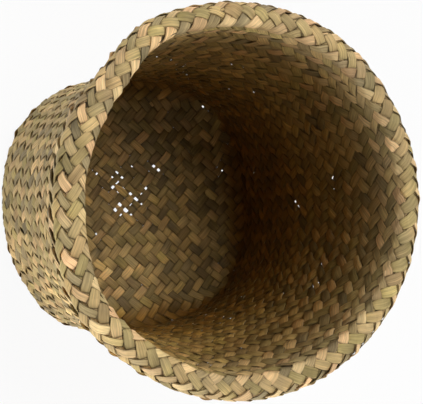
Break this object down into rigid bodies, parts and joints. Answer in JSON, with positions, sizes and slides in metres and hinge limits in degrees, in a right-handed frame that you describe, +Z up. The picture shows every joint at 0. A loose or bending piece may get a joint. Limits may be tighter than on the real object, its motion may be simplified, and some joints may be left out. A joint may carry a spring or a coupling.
{
  "type": "woven storage basket",
  "caption": "Deep round-mouthed basket plaited on the bias from flat plant strips, with a soft square base, a thin open wall and a thick folded border.",
  "frame": {"origin": "middle of the base's underside, on the floor", "axes": "+Z up out of the mouth along the basket's axis, X and Y square to the sides of the soft square base"},
  "size_m": [0.2498, 0.2498, 0.258],
  "materials": {
    "plaited_base": "matt, dry split rush plaited two over two under",
    "plaited_wall": "matt, dry split rush plaited two over two under",
    "border_core": "matt, doubled-over ends of the plaiting strips",
    "folded_strips": "matt to faintly silky, paler split rush folded over the edge"
  },
  "bodies": {
    "root": {"base_mat": "plaited_base", "side_wall": "plaited_wall", "border_core": "border_core", "folded_strip_01": "folded_strips", "folded_strip_02": "folded_strips", "folded_strip_03": "folded_strips", "folded_strip_04": "folded_strips", "folded_strip_05": "folded_strips", "folded_strip_06": "folded_strips", "folded_strip_07": "folded_strips", "folded_strip_08": "folded_strips", "folded_strip_09": "folded_strips", "folded_strip_10": "folded_strips", "folded_strip_11": "folded_strips", "folded_strip_12": "folded_strips", "folded_strip_13": "folded_strips", "folded_strip_14": "folded_strips", "folded_strip_15": "folded_strips", "folded_strip_16": "folded_strips", "folded_strip_17": "folded_strips", "folded_strip_18": "folded_strips", "folded_strip_19": "folded_strips", "folded_strip_20": "folded_strips", "folded_strip_21": "folded_strips", "folded_strip_22": "folded_strips", "folded_strip_23": "folded_strips", "folded_strip_24": "folded_strips", "folded_strip_25": "folded_strips", "folded_strip_26": "folded_strips", "folded_strip_27": "folded_strips", "folded_strip_28": "folded_strips", "folded_strip_29": "folded_strips", "folded_strip_30": "folded_strips", "folded_strip_31": "folded_strips", "folded_strip_32": "folded_strips", "folded_strip_33": "folded_strips", "folded_strip_34": "folded_strips", "folded_strip_35": "folded_strips", "folded_strip_36": "folded_strips"}
  },
  "joints": []
}
